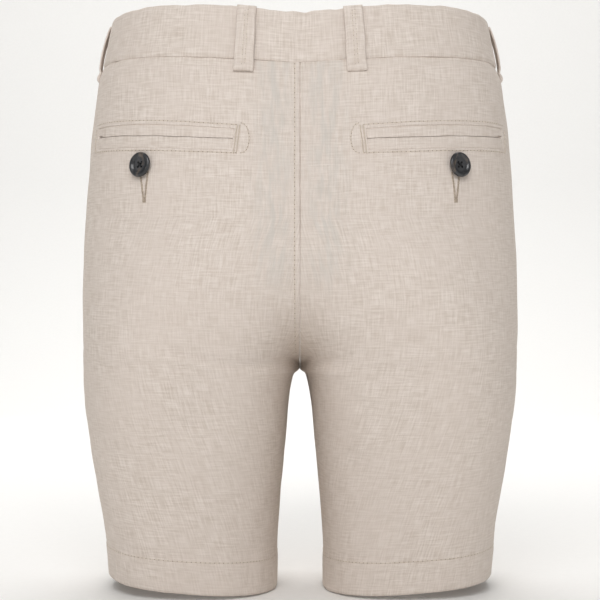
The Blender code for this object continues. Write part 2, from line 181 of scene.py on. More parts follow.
def on_form(half, drop, inward, left=True):
    """Points and outward normals of the form at a drop and a distance from the centre seam or
    inseam, read from the fine grid by straight-line blending of its four nearest points."""
    drop, inward = np.broadcast_arrays(drop, inward)
    row = (drop - FORM_DROPS[0]) / (FORM_DROPS[1] - FORM_DROPS[0])
    row = np.clip(row, 0, len(FORM_DROPS) - 1.001)
    share = np.clip(1 - inward / section_length(half, drop), 0, 1)
    column = np.minimum(share * (len(FORM_SHARES) - 1), len(FORM_SHARES) - 1.001)
    i, j = row.astype(int), column.astype(int)
    s, t = (row - i)[..., None], (column - j)[..., None]
    found = []
    for grid in FORM[half][:2]:
        found.append(
            (grid[i, j] * (1 - s) + grid[i + 1, j] * s) * (1 - t)
            + (grid[i, j + 1] * (1 - s) + grid[i + 1, j + 1] * s) * t
        )
    if not left:
        found = [g * [-1, 1, 1] for g in found]
    return found[0], found[1] / np.linalg.norm(found[1], axis=-1, keepdims=True)


def graded(low, high, coarse, places=(), fine=1.0, reach=1.0):
    """Grid lines from low to high, a density's equal shares: 1/coarse, with a hump of 1/fine and
    of width reach added at each place."""
    x = np.linspace(low, high, 6000)
    density = np.full(x.shape, 1 / coarse)
    for place in places:
        density += np.exp(-(((x - place) / reach) ** 2)) / fine
    total = np.append(0, np.cumsum((density[1:] + density[:-1]) / 2 * np.diff(x)))
    return np.interp(np.linspace(0, total[-1], int(total[-1])), total, x)


def soft_step(x):
    """0 below 0 and 1 above 1, with an S-shaped rise between."""
    x = np.clip(x, 0, 1)
    return x * x * (3 - 2 * x)


def hump(x, width):
    """1 at 0, falling away on both sides as exp(-(x / width)^2)."""
    return np.exp(-((x / width) ** 2))


def uneven(x, seed, longest, count=5):
    """A smooth wander between about -1 and 1: a sum of sines whose wavelengths shrink from the
    longest by 1.6 each, with heights in proportion to the square root of wavelength."""
    dice = np.random.default_rng(seed)
    total = 0
    for k in range(count):
        wave = longest / 1.6**k
        total = total + 1.26**-k * np.sin(2 * np.pi * x / wave + dice.uniform(0, 2 * np.pi))
    return total / 2.2


def make_mesh(name, points, faces, uv=None, smooth=True):
    """An object at the origin with one mesh. uv holds a pair for each point."""
    mesh = bpy.data.meshes.new(name)
    mesh.from_pydata(points, [], faces)
    if uv is not None:
        corner = np.empty(len(mesh.loops), int)
        mesh.loops.foreach_get("vertex_index", corner)
        mesh.uv_layers.new(name="cloth").data.foreach_set("uv", uv[corner].ravel())
    if smooth:
        mesh.shade_smooth()
    made = bpy.data.objects.new(name, mesh)
    bpy.context.scene.collection.objects.link(made)
    return made


def wall_mesh(name, outer, inner, uv, faces_out):
    """A closed wall between two grids of points of the same size, with a rim round its edges."""
    rows, columns = outer.shape[:2]
    index = np.arange(rows * columns).reshape(rows, columns)
    quads = np.stack([index[:-1, :-1], index[1:, :-1], index[1:, 1:], index[:-1, 1:]], 2)
    quads = quads.reshape(-1, 4)
    rim = np.concatenate([index[:, 0], index[-1, 1:], index[-2::-1, -1], index[0, -2:0:-1]])
    after, under = np.roll(rim, -1), rows * columns
    sides = np.stack([rim, rim + under, after + under, after], 1)
    faces = np.concatenate([quads, quads[:, ::-1] + under, sides])
    points = np.concatenate([outer.reshape(-1, 3), inner.reshape(-1, 3)])
    uv = np.concatenate([uv.reshape(-1, 2)] * 2)
    return make_mesh(name, points, faces if faces_out else faces[:, ::-1], uv)


def linear(hex_colour):
    """An sRGB hex colour as linear red, green, blue and alpha."""
    parts = np.array([int(hex_colour[i : i + 2], 16) / 255 for i in (1, 3, 5)])
    parts = np.where(parts <= 0.04045, parts / 12.92, ((parts + 0.055) / 1.055) ** 2.4)
    return (*parts, 1.0)


def add_node(tree, kind, inputs=(), **settings):
    """Adds a node with its settings, and sets or links each input named by number or name."""
    node = tree.nodes.new("ShaderNode" + kind)
    for key, value in settings.items():
        setattr(node, key, value)
    for socket, value in dict(inputs).items():
        if isinstance(value, bpy.types.NodeSocket):
            tree.links.new(value, node.inputs[socket])
        else:
            node.inputs[socket].default_value = value
    return node


# =============================================================================================
# Linen
# Plain-woven undyed linen, washed: dry and matt, with slubs, which are thick places in the yarns,
# running along both thread directions.

THREAD = 0.52 * MM  # from one yarn to the next, 19 to the centimetre
SLUB_LENGTH = 11 * MM
SLUB_WIDTH = 0.95 * MM  # two yarns, the least that shows at this size


def linen_material(name, base, shade, light):
    """The cloth's UV is in metres across and down its threads. Slubs are noise stretched along
    each thread direction. The weave is warp and weft ribs that take turns on top."""
    made = bpy.data.materials.new(name)
    made.use_nodes = True
    tree = made.node_tree
    shader = tree.nodes["Principled BSDF"]
    shader.inputs["Roughness"].default_value = 0.86
    shader.inputs["Specular IOR Level"].default_value = 0.25
    shader.inputs["Sheen Weight"].default_value = 0.18
    shader.inputs["Sheen Roughness"].default_value = 0.5
    shader.inputs["Sheen Tint"].default_value = linear("#f2e9db")
    uv = add_node(tree, "UVMap", uv_map="cloth").outputs[0]

    def streaks(across, along, seed, detail=2.0):
        """Noise whose cells measure across by along."""
        scaled = add_node(
            tree, "Mapping",
            {0: uv, "Location": (seed, seed, 0), "Scale": (1 / across, 1 / along, 1)},
        )
        return add_node(
            tree, "TexNoise", {"Vector": scaled.outputs[0], "Scale": 1, "Detail": detail}
        ).outputs[0]

    def math_of(operation, first, second):
        return add_node(tree, "Math", {0: first, 1: second}, operation=operation).outputs[0]

    warp = streaks(SLUB_WIDTH, SLUB_LENGTH, 3.1)
    weft = streaks(SLUB_LENGTH, SLUB_WIDTH, 7.7)
    clouds = streaks(38 * MM, 55 * MM, 1.3, 3.0)
    slubs = math_of("ADD", warp, weft)
    tone = add_node(
        tree, "MapRange",
        {0: slubs, "From Min": 0.72, "From Max": 1.28, "To Min": 0.0, "To Max": 1.0},
    ).outputs[0]
    colour = add_node(
        tree, "Mix", {0: tone, 6: linear(shade), 7: linear(light)}, data_type="RGBA"
    ).outputs[2]
    cloudy = add_node(
        tree, "MapRange",
        {0: clouds, "From Min": 0.35, "From Max": 0.65, "To Min": 0.0, "To Max": 0.5},
    ).outputs[0]
    colour = add_node(
        tree, "Mix", {0: cloudy, 6: colour, 7: linear(base)}, data_type="RGBA"
    ).outputs[2]
    # Marks that the panels carry as attributes: a streaky grey in a band beside the centre back
    # seam, above the seat.
    grey = add_node(tree, "Attribute", attribute_name="grey").outputs["Fac"]
    patchy = add_node(
        tree, "MapRange",
        {0: streaks(4 * MM, 22 * MM, 5.5), "From Min": 0.4, "From Max": 0.62, "To Min": 0.15},
    ).outputs[0]
    colour = add_node(
        tree, "Mix", {0: math_of("MULTIPLY", grey, patchy), 6: colour, 7: linear("#c3bfb9")},
        data_type="RGBA",
    ).outputs[2]
    # Painted shade: a brown tint, read from a panel attribute, that darkens the crotch valley and
    # the inner legs.
    painted_shade_fac = add_node(tree, "Attribute", attribute_name="tan").outputs["Fac"]
    colour = add_node(
        tree, "Mix", {0: painted_shade_fac, 6: colour, 7: linear("#b29a80")}, data_type="RGBA"
    ).outputs[2]
    tree.links.new(colour, shader.inputs["Base Color"])

    threads = add_node(tree, "SeparateXYZ", {0: uv})
    across = math_of("MULTIPLY", threads.outputs[0], math.pi / THREAD)
    down = math_of("MULTIPLY", threads.outputs[1], math.pi / THREAD)
    weave = math_of("MULTIPLY", math_of("SINE", across, 0.0), math_of("SINE", down, 0.0))
    height = math_of("ADD", math_of("MULTIPLY", weave, 0.35), math_of("MULTIPLY", slubs, 1.6))
    bump = add_node(tree, "Bump", {"Strength": 0.55, "Distance": 0.16 * MM, "Height": height})
    tree.links.new(bump.outputs[0], shader.inputs["Normal"])
    return made


linen = linen_material("washed_slub_linen", "#d6cac1", "#c8bbb0", "#e2d8d0")


# =============================================================================================
# Leg panels
# Two back and two front panels, each one piece of linen from the waist seam to the hem. Their
# edges turn in at the seams, where the allowances behind make a low ridge, and each hem is turned
# up 21 mm.

CLOTH = 1.2 * MM
HEM_HEIGHT = 21 * MM
POCKET_INNER_END = 38.5 * MM  # from the centre back seam
POCKET_OUTER_END = 144 * MM
POCKET_SLIT = WAIST_SEAM + 46 * MM
WELT_ABOVE = 6.4 * MM
WELT_BELOW = 7.0 * MM


def pocket_slant(drop):
    """How far the window's inner end lies from its upper corner, which grows evenly downwards."""
    return 2.0 * MM * (drop - POCKET_SLIT + WELT_ABOVE) / (WELT_ABOVE + WELT_BELOW)


def pocket_arch(inward):
    """How far the window's top rises above a straight line: a parabola, 0.7 mm at its middle."""
    return 0.7 * MM * (1 - ((inward - 91 * MM) / (53 * MM)) ** 2)


def pocket_window(drop, inward):
    """How far inside the pocket's welted window a place is, negative outside it: the least of its
    distances from the four edges."""
    top = POCKET_SLIT - WELT_ABOVE + 0.6 * MM - pocket_arch(inward)
    down = np.minimum(drop - top, POCKET_SLIT + WELT_BELOW - drop)
    inner_end = POCKET_INNER_END + pocket_slant(drop)
    across = np.minimum(inward - inner_end, POCKET_OUTER_END - inward)
    return np.minimum(down, across)


def pocket_recess(drop, inward):
    """How deep the panel is let in for the welts: 1.5 mm, reached within 0.35 mm of the edge."""
    return 1.5 * MM * soft_step(pocket_window(drop, inward) / (0.35 * MM) + 0.5)


def crease(drop, inward, at, length, width, turn):
    """A soft dent: a long hump at a place of drop and distance in mm, turned by degrees. It is
    the product of a hump along it and a hump across it."""
    d, r = (drop - at[0] * MM), (inward - at[1] * MM)
    c, s = math.cos(math.radians(turn)), math.sin(math.radians(turn))
    along, across = r * c + d * s, -r * s + d * c
    return hump(along, length * MM) * hump(across, width * MM)


def relief(half, left, drop, inward):
    """How far the cloth stands out from the form: seam ridges, the tuck under the band, the hem's
    step and puckers, the pocket's window, and creases listed one by one."""
    side = section_length(half, drop) - inward
    seed = (half == "back") * 2 + left
    above_fork = soft_step((CROTCH - 6 * MM - drop) / (10 * MM))
    lift = 0.35 * MM * uneven(drop + 0.6 * inward, seed + 11, 0.21)
    lift += 0.3 * MM * uneven(inward - 0.3 * drop, seed + 23, 0.13)
    # Seams
    for away, width in ((side, 9 * MM), (inward, 8 * MM)):
        lift += 0.22 * MM * soft_step((width - away) / (1.5 * MM))
        lift -= 0.5 * MM * hump(away, 0.55 * MM)
    if half == "back" and left:
        lift += 0.2 * MM * above_fork * soft_step((7 * MM - inward) / MM)
    # Tuck under the waistband, with the fullness that it eases in
    below_band = drop - WAIST_SEAM
    lift -= 0.9 * MM * np.exp(-below_band / (1.1 * MM))
    lift += 0.28 * MM * uneven(inward, seed + 31, 0.034, 3) * np.exp(-below_band / (17 * MM))
    # Hem
    into_hem = drop - (HEM_EDGE - HEM_HEIGHT)
    lift += 0.3 * MM * soft_step(into_hem / (1.2 * MM))
    pull = uneven(inward, seed + 41, 0.021, 4)
    lift -= 0.28 * MM * hump(into_hem - 1.6 * MM, 1.3 * MM) * (1 + 0.7 * pull)
    lift += 0.3 * MM * pull * hump(into_hem - 8 * MM, 9 * MM)
    lift -= 0.5 * MM * hump(HEM_EDGE - drop, 0.7 * MM)
    if half == "back":
        lift -= pocket_recess(drop, inward)
        lift += 0.22 * MM * hump(pocket_window(drop, inward) + 1.1 * MM, 1.0 * MM)
        # Smile lines beside the centre back seam, and dents under the loops and by the fork
        for at, length, width, turn, deep in (
            ((95, 14), 9, 2.6, -24, 0.34), ((101, 24), 8, 3, -20, 0.2),
            ((172, 32), 13, 3.2, -14, 0.4), ((180, 26), 11, 3, -18, 0.3),
            ((38, 140), 6, 8, 60, 0.7), ((150, 8), 4, 40, 0, 0.25),
            ((200, 16), 5, 20, 28, 0.5), ((216, 30), 16, 4, 32, 0.45),
            ((128, 60), 34, 9, -9, 0.3), ((240, 90), 30, 16, 18, 0.45),
            ((268, 60), 26, 12, -14, 0.4), ((150, 120), 22, 26, 30, 0.4),
            ((97, 94), 26, 4, 4, 0.28), ((60, 94), 40, 4, 2, 0.2),
        ):  # fmt: skip
            lift -= deep * MM * crease(drop, inward, at, length, width, turn)
    else:
        for at, length, width, turn, deep in (
            ((165, 18), 16, 3.5, -22, 0.5), ((178, 26), 18, 4, -28, 0.55),
            ((192, 34), 20, 4, -34, 0.5), ((120, 70), 34, 10, -12, 0.35),
            ((225, 60), 30, 12, 22, 0.45), ((268, 90), 30, 14, -12, 0.4),
        ):  # fmt: skip
            lift -= deep * MM * crease(drop, inward, at, length, width, turn)
    return lift


def add_marks(piece, **marks):
    """Stores a number for each point of a piece under each name."""
    for name, values in marks.items():
        layer = piece.data.attributes.new(name, "FLOAT", "POINT")
        layer.data.foreach_set("value", np.concatenate([values.ravel()] * 2).astype(np.float32))


def panel(half, left):
    """A grid of drop by share of the section, closer at seams, hem and pocket, moved out by the
    relief, with an inner face one cloth further in."""
    at_slit = section_length(half, POCKET_SLIT)
    if half == "back":
        stops = (0, POCKET_INNER_END, POCKET_INNER_END + 2 * MM, POCKET_OUTER_END)
        ends = [1 - stop / at_slit for stop in stops]
        top = POCKET_SLIT - WELT_ABOVE
        lines = (top - 0.1 * MM, top + 0.6 * MM, POCKET_SLIT + WELT_BELOW)
    else:
        ends, lines = [1], ()
    drops = graded(
        WAIST_SEAM + 0.1 * MM, HEM_EDGE, 1.9 * MM,
        (WAIST_SEAM, *lines, CROTCH, HEM_EDGE - HEM_HEIGHT, HEM_EDGE), 0.42 * MM, 2 * MM,
    )  # fmt: skip
    shares = graded(0, 1, 1.9 * MM / at_slit, (0, *ends), 0.42 * MM / at_slit, 2.4 * MM / at_slit)
    drop, share = np.meshgrid(drops, shares, indexing="ij")
    inward = (1 - share) * section_length(half, drop)
    points, normals = on_form(half, drop, inward)
    outer = points + normals * relief(half, left, drop, inward)[..., None]
    wall = CLOTH + 1.2 * MM * soft_step((drop - HEM_EDGE + HEM_HEIGHT) / (1.2 * MM))
    inner = outer - normals * wall[..., None]
    for grid in (outer, inner):
        grid[..., 0] = np.maximum(grid[..., 0], 0.03 * MM)
        if not left:
            grid[..., 0] *= -1
    # The threads run with the centre seam above the seat and with the side seam below it.
    seat = 121 * MM
    from_side = section_length(half, seat) - share * section_length(half, drop)
    below_seat = soft_step((drop - seat + 20 * MM) / (40 * MM))
    run = inward + (from_side - inward) * below_seat
    uv = np.stack([run * (1 if left else -1) + (0.5 if half == "front" else 0), drop], -1)
    name = f"{half}_panel_{'left' if left else 'right'}_linen"
    made = wall_mesh(name, outer, inner, uv, (half == "back") == left)
    behind = half == "back"
    grey = behind * hump(inward - 15 * MM, 11 * MM) * soft_step((175 * MM - drop) / (35 * MM))
    # Painted shade for the crotch valley: a brown tint, strongest by the fork and fainter down the
    # inseams.
    near_fork = hump(drop - CROTCH - 4 * MM, 34 * MM) * hump(inward, 13 * MM)
    inner_leg = 0.06 * soft_step((drop - CROTCH) / (40 * MM)) * hump(inward, 17 * MM)
    add_marks(made, grey=0.55 * grey, tan=0.2 * near_fork + inner_leg)
    made.data.materials.append(linen)
    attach(made, "root")
    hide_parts(f"{half}_panel_{'left' if left else 'right'}")
    return made


for half in ("back", "front"):
    for left in (True, False):
        panel(half, left)


# =============================================================================================
# Waistband
# One folded strip of linen, 30 mm high with interlining, whose top fold is a little puckered. The
# wearer's left end laps over the right at the centre front.

BAND_WALL = 2.6 * MM
BAND_PROUD = 0.8 * MM
LAP_PAST_CENTRE = 14 * MM
UNDERLAP = 25 * MM
BACK_WAIST = float(section_length("back", WAIST_SEAM))
HALF_WAIST = BACK_WAIST + float(section_length("front", WAIST_SEAM))


def round_waist(run, drop):
    """Points and outward normals at a distance run round the waist from the centre back, positive
    towards the wearer's left, and a drop. The distance is shared out by the waist seam's length."""
    run, drop = np.broadcast_arrays(run, drop)
    run = (run + HALF_WAIST) % (2 * HALF_WAIST) - HALF_WAIST
    away = abs(run)
    scale = [section_length(h, drop) / section_length(h, WAIST_SEAM) for h in ("back", "front")]
    on_back = on_form("back", drop, away * scale[0])
    on_front = on_form("front", drop, (HALF_WAIST - away) * scale[1])
    side = np.where(run < 0, -1, 1)[..., None] ** np.array([1, 0, 0])
    behind = (away <= BACK_WAIST)[..., None]
    return [np.where(behind, b, f) * side for b, f in zip(on_back, on_front)]


def capped_tube(name, rings, uv):
    """A closed tube through rings of points, its two ends filled."""
    count, around = rings.shape[:2]
    index = np.arange(count * around).reshape(count, around)
    after = np.roll(index, -1, axis=1)
    sides = np.stack([index[:-1], after[:-1], after[1:], index[1:]], 2).reshape(-1, 4).tolist()
    faces = [index[0, ::-1].tolist(), *sides, index[-1].tolist()]
    made = make_mesh(name, rings.reshape(-1, 3), faces, uv.reshape(-1, 2))
    shell = bmesh.new()
    shell.from_mesh(made.data)
    bmesh.ops.recalc_face_normals(shell, faces=shell.faces)
    shell.to_mesh(made.data)
    shell.free()
    return made


def soft_rectangle(count, squareness):
    """A unit rectangle with rounded corners, as a superellipse: pairs from -1 to 1."""
    a = np.linspace(0, 2 * np.pi, count, endpoint=False)
    power = 2 / squareness
    return [np.sign(f) * abs(f) ** power for f in (np.cos(a), np.sin(a))]


def rounded_off(way, least):
    """A quarter circle: from about 0 where way is 0 to 1 where it is 1 and beyond."""
    return np.sqrt(np.clip(way, least, 1) * (2 - np.clip(way, 0, 1)))


def waistband():
    """The strip's cross-section, a rounded rectangle, carried round the waist. Its top fold dips
    and its face swells by a slow wander, and its ends close to a rounded edge."""
    start, end = -HALF_WAIST - UNDERLAP, HALF_WAIST + LAP_PAST_CENTRE
    runs = graded(start, end, 1.6 * MM, (start, end), 0.3 * MM, 1.5 * MM)[:, None]
    down, out = (f[None, :] for f in soft_rectangle(52, 6.5))
    from_end = np.minimum(runs - start, end - runs)
    close = rounded_off(from_end / (1.3 * MM), 0.02)
    dip = 0.35 * MM * uneven(runs, 5, 0.05, 4)
    for at, deep in ((-3.5, 0.8), (8.5, 0.45), (19, 0.3), (-22, 0.3)):
        dip = dip + deep * MM * hump(runs - at * MM, 2.6 * MM)
    top = 0.1 * MM + np.maximum(dip, -0.3 * MM)
    bottom = WAIST_SEAM + 0.25 * MM
    drop = (top + bottom) / 2 + (bottom - top) / 2 * down * (1 - 0.02 * (1 - close))
    ramp = soft_step((-runs - HALF_WAIST + LAP_PAST_CENTRE + 16 * MM) / (12 * MM))
    middle = BAND_PROUD - BAND_WALL / 2 - (BAND_WALL + 0.5 * MM) * ramp
    swell = 0.3 * MM * uneven(runs + 0.4 * drop, 8, 0.09, 4) * (1 - down**2)
    swell = swell - 0.5 * MM * hump(WAIST_SEAM - drop, 0.9 * MM)
    lift = middle + swell + BAND_WALL / 2 * out * close
    points, normals = round_waist(runs, drop)
    uv = np.stack(np.broadcast_arrays(runs, 0.7 + drop + 0.003 * out), -1)
    made = capped_tube("waistband_linen", points + normals * lift[..., None], uv)
    made.data.materials.append(linen)
    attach(made, "root")
    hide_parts("waistband")
    return made


waistband()


# =============================================================================================
# Belt loops
# Six folded straps 11 mm wide, bound by a two-needle seam down the middle. Each is caught in the
# band's top edge and turned under at its lower end, below the waist seam, where it is tacked.

LOOP_WIDTH = 11.4 * MM
LOOP_WALL = 1.5 * MM
LOOP_BOW = 1.4 * MM
LOOP_END = WAIST_SEAM + 7.7 * MM
LOOP_RUNS = {
    "back": 33 * MM,
    "side": BACK_WAIST,
    "front": HALF_WAIST - 60 * MM,
}


def loop_lift(drop, where):
    """The strap's outer face above the form: over the band, bowed off it for the belt, then down
    to the panel, with a roll at the lower end where it is turned under."""
    way = np.clip(drop / LOOP_END, 0, 1)
    seat = 0.2 * MM + BAND_PROUD * soft_step((WAIST_SEAM + 3 * MM - drop) / (4 * MM))
    bow = LOOP_BOW * (1.6 if where == "side" else 1) * np.sin(np.pi * way) ** 0.8
    roll = 1.1 * MM * hump(drop - LOOP_END + 2.3 * MM, 2.6 * MM)
    pinch = 0.35 * MM * hump(drop - LOOP_END + 5.4 * MM, 1.0 * MM)
    return seat + LOOP_WALL + bow + roll - pinch


def belt_loop(where, left):
    """A flat rounded cross-section carried down the band. It flares a little at the top, and its
    lower end closes over the last 2 mm."""
    sign = 1 if left else -1
    drops = graded(-0.2 * MM, LOOP_END, 0.8 * MM, (0, LOOP_END), 0.22 * MM, 1.6 * MM)[:, None]
    across, out = (f[None, :] for f in soft_rectangle(36, 4.0))
    close = rounded_off((LOOP_END - drops) / (1.4 * MM), 0.03)
    seed = {"back": 1, "side": 2, "front": 3}[where] * 2 + left
    width = LOOP_WIDTH * (1 + 0.06 * hump(drops, 4 * MM) + 0.04 * hump(drops - LOOP_END, 5 * MM))
    sway = 0.25 * MM * uneven(drops, seed, 0.04, 3)
    face = loop_lift(drops, where)
    thick = LOOP_WALL + 1.0 * MM * hump(drops - LOOP_END + 2.3 * MM, 2.6 * MM)
    run = sign * LOOP_RUNS[where] + sway + width / 2 * across * (0.93 + 0.07 * close)
    groove = 0.16 * MM * hump(across, 0.2) * (out > 0)
    lift = face - thick / 2 + thick / 2 * out * close - groove
    points, normals = round_waist(run, drops)
    uv = np.stack([run + 0.3 * seed, np.broadcast_to(drops, run.shape) + 0.002 * out], -1)
    name = f"belt_loop_{where}_{'left' if left else 'right'}"
    made = capped_tube(name + "_linen", points + normals * lift[..., None], uv)
    made.data.materials.append(linen)
    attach(made, "root")
    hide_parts(name)
    return made


for where in ("back", "side", "front"):
    for left in (True, False):
        belt_loop(where, left)


# =============================================================================================
# Pocket welts
# Two folded strips of linen fill each back pocket's window and meet at the slit, which gapes a
# little at its outer end.

def welt(upper, left):
    """A thin rounded cross-section carried along the window, from its slanted inner end to its
    outer end. The slit edge wanders and draws back at the outer end."""
    inward = graded(POCKET_INNER_END - 0.5 * MM, POCKET_OUTER_END + 0.3 * MM, 1.0 * MM)[:, None]
    down, out = (f[None, :] for f in soft_rectangle(32, 4.0))
    gape = hump(inward - POCKET_OUTER_END + 2.5 * MM, 5 * MM)
    wander = 0.16 * MM * uneven(inward, 3 + left, 0.06, 4)
    if upper:
        top = POCKET_SLIT - WELT_ABOVE + 0.45 * MM - pocket_arch(inward)
        bottom = POCKET_SLIT - 0.12 * MM + wander - 1.1 * MM * gape
    else:
        top = POCKET_SLIT + 0.12 * MM + wander + 0.25 * MM * gape
        bottom = POCKET_SLIT + WELT_BELOW + 0.1 * MM
    drop = (top + bottom) / 2 + (bottom - top) / 2 * down
    near_inner_end = soft_step((POCKET_INNER_END + 30 * MM - inward) / (30 * MM))
    skewed = inward + pocket_slant(drop) * near_inner_end
    face = -0.12 * MM + 0.1 * MM * uneven(inward, 9 + left, 0.05, 3)
    face = face - 0.35 * MM * hump(inward - POCKET_INNER_END, 1.2 * MM)
    face = face - (0.25 if upper else 0.05) * MM * hump(drop - (top if upper else bottom), 0.8 * MM)
    thick = 0.9 * MM
    lift = face - thick / 2 + thick / 2 * out
    points, normals = on_form("back", drop, skewed, left)
    base = relief("back", left, drop, skewed) + pocket_recess(drop, skewed)
    uv = np.stack([skewed + 1.7 + 0.2 * left, drop + 0.35 + 0.11 * upper], -1)
    name = f"welt_{'upper' if upper else 'lower'}_{'left' if left else 'right'}"
    made = capped_tube(name + "_linen", points + normals * (lift + base)[..., None], uv)
    made.data.materials.append(linen)
    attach(made, "root")
    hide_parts(name)
    return made


for left in (True, False):
    for upper in (True, False):
        welt(upper, left)


# =============================================================================================
# Stitching
# Lockstitch in a matching spun polyester thread, 2.8 mm a stitch. Each stitch is a short rounded
# length of thread that dips at its ends into a needle hole, which reads as a dark dot.

# Spun polyester sewing thread: soft-looking, with a slight lustre and a twist that shows as fine
# light and dark bands.
thread_cloth = bpy.data.materials.new("spun_polyester_thread")
thread_cloth.use_nodes = True
tree = thread_cloth.node_tree
shader = tree.nodes["Principled BSDF"]
shader.inputs["Roughness"].default_value = 0.6
shader.inputs["Sheen Weight"].default_value = 0.2
twist = add_node(
    tree, "TexWave",
    {"Vector": add_node(tree, "TexCoord").outputs["Object"], "Scale": 900.0, "Distortion": 2.0},
    bands_direction="DIAGONAL",
)
tree.links.new(
    add_node(
        tree, "Mix", {0: twist.outputs["Fac"], 6: linear("#c9bcab"), 7: linear("#d9cebf")},
        data_type="RGBA",
    ).outputs[2],
    shader.inputs["Base Color"],
)
# The pricked linen round each needle hole: the same cloth in its own shadow, quite matt.
needle_hole = bpy.data.materials.new("shadowed_needle_hole")
needle_hole.use_nodes = True
shader = needle_hole.node_tree.nodes["Principled BSDF"]
shader.inputs["Base Color"].default_value = linear("#9c8b79")
shader.inputs["Roughness"].default_value = 1.0

STITCH = 2.8 * MM
THREAD_RADIUS = 0.2 * MM


def even_points(path, pitch):
    """Points spaced evenly along a path of rows of numbers, about a pitch apart."""
    run = run_along(path)
    count = max(2, int(round(run[-1] / pitch)) + 1)
    at = np.linspace(0, run[-1], count)
    return np.stack([np.interp(at, run, c) for c in path.T], 1)


def stitch_parts(points, normals, radius, fill, sink=0.12 * MM):
    """Stitches between successive points. Each is a spindle: rings of six points, from t = -1 to 1,
    whose radius goes as sqrt(1 - t^2) and whose height falls as t^2 from the middle."""
    start, end = points[:-1], points[1:]
    along = end - start
    normal = normals[:-1] + normals[1:]
    normal /= np.linalg.norm(normal, axis=1, keepdims=True)
    size = np.linalg.norm(along, axis=1, keepdims=True)
    across = np.cross(along / size, normal)
    t = np.array([-1, -0.8, -0.35, 0.35, 0.8, 1])[None, :, None, None]
    a = np.linspace(0, 2 * np.pi, 6, endpoint=False)[None, None, :, None]
    round_off = np.sqrt(np.maximum(1 - t**2, 0.03))
    middle = ((start + end) / 2)[:, None, None, :] + t * fill / 2 * along[:, None, None, :]
    rise = (radius - sink * 1.6 * t**2) * normal[:, None, None, :]
    ring = np.cos(a) * across[:, None, None, :] * 1.1 + np.sin(a) * normal[:, None, None, :]
    return middle + rise + radius * round_off * ring


def add_stitches(name, rows, radius=THREAD_RADIUS, fill=0.8, hole=0.34 * MM):
    """One object of many stitch rows, each a pair of points and normals, with a low eight-sided
    dark disc at each needle hole."""
    points, faces, slots = [], [], []
    total = 0
    for place, normal in rows:
        rings = stitch_parts(place, normal, radius, fill)
        count, along, around = rings.shape[:3]
        index = np.arange(count * along * around).reshape(count, along, around) + total
        after = np.roll(index, -1, axis=2)
        sides = np.stack([index[:, :-1], after[:, :-1], after[:, 1:], index[:, 1:]], 3)
        faces += sides.reshape(-1, 4)[:, ::-1].tolist()
        faces += index[:, 0].tolist() + index[:, -1, ::-1].tolist()
        slots += [0] * (count * (along - 1) * around + 2 * count)
        points.append(rings.reshape(-1, 3))
        total += count * along * around
        if hole:
            tangent = np.gradient(place, axis=0)
            tangent /= np.linalg.norm(tangent, axis=1, keepdims=True)
            side = np.cross(tangent, normal)
            a = np.linspace(0, 2 * np.pi, 8, endpoint=False)[None, :, None]
            disc = np.cos(a) * tangent[:, None] + 0.85 * np.sin(a) * side[:, None]
            disc = place[:, None] + hole * disc
            low, high = disc - 0.25 * MM * normal[:, None], disc + 0.05 * MM * normal[:, None]
            both = np.stack([low, high], 1)
            index = np.arange(len(place) * 16).reshape(-1, 2, 8) + total
            after = np.roll(index, -1, axis=2)
            walls = np.stack([index[:, 0], index[:, 1], after[:, 1], after[:, 0]], 2)
            faces += walls.reshape(-1, 4).tolist()
            faces += index[:, 1, ::-1].tolist() + index[:, 0].tolist()
            slots += [1] * (len(place) * 10)
            points.append(both.reshape(-1, 3))
            total += len(place) * 16
    made = make_mesh(name, np.concatenate(points), faces)
    made.data.materials.append(thread_cloth)
    made.data.materials.append(needle_hole)
    made.data.polygons.foreach_set("material_index", slots)
    shell = bmesh.new()
    shell.from_mesh(made.data)
    bmesh.ops.recalc_face_normals(shell, faces=shell.faces)
    shell.to_mesh(made.data)
    shell.free()
    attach(made, "root")
    return made


def sewn(half, left, path, pitch=STITCH, raise_by=0.0):
    """Stitch points and normals along a path of drop and distance, in mm, on a panel."""
    at = even_points(np.array(path, float) * MM, pitch)
    place, normal = on_form(half, at[:, 0], at[:, 1], left)
    return place + normal * (relief(half, left, at[:, 0], at[:, 1]) + raise_by)[:, None], normal


slit = POCKET_SLIT / MM
above, below = slit - 6.4 - 2.2, slit + 7.0 + 1.7
hem_row = HEM_EDGE / MM - 19.4
for left in (True, False):
    side = "left" if left else "right"
    inner_end = POCKET_INNER_END / MM
    a = np.linspace(-1.5, 1.5, 25)  # the D-shaped row round the window's inner end
    arc = np.stack([slit - 0.3 + 8.9 * np.sin(a), inner_end - 3.4 - 5.4 * np.cos(a) ** 0.8], 1)
    upper = [
        (above - 0.75 * (1 - ((r - 91) / 53) ** 2) + 0.5, r)
        for r in np.linspace(inner_end - 1, 147, 30)
    ]
    lower = [(below, r) for r in np.linspace(inner_end - 1, 150, 30)]
    bars = [[(above + 0.5, inner_end - d), (below + 0.3, inner_end - d + 2.0)] for d in (1.6, 3.3)]
    rows = [
        sewn("back", left, upper), sewn("back", left, lower), sewn("back", left, arc, 2.05 * MM),
        sewn("back", left, [(below, 150), (slit - 5.0, 150)]),
    ]  # fmt: skip
    add_stitches(f"pocket_stitching_{side}", rows)
    add_stitches(
        f"pocket_bar_tacks_{side}", [sewn("back", left, b, 0.62 * MM) for b in bars],
        radius=0.3 * MM, fill=1.1, hole=0,
    )  # fmt: skip

centre_row = [(d, 3.1) for d in np.linspace(WAIST_SEAM / MM + 1.5, 205, 60)]
add_stitches("centre_back_stitching", [sewn("back", True, centre_row)])
for left in (True, False):
    rows = []
    for half in ("back", "front"):
        size = section_length(half, HEM_EDGE - 19.4 * MM) / MM
        rows.append(sewn(half, left, [(hem_row, r) for r in np.linspace(1, size - 1, 60)]))
    add_stitches(f"hem_stitching_{'left' if left else 'right'}", rows)

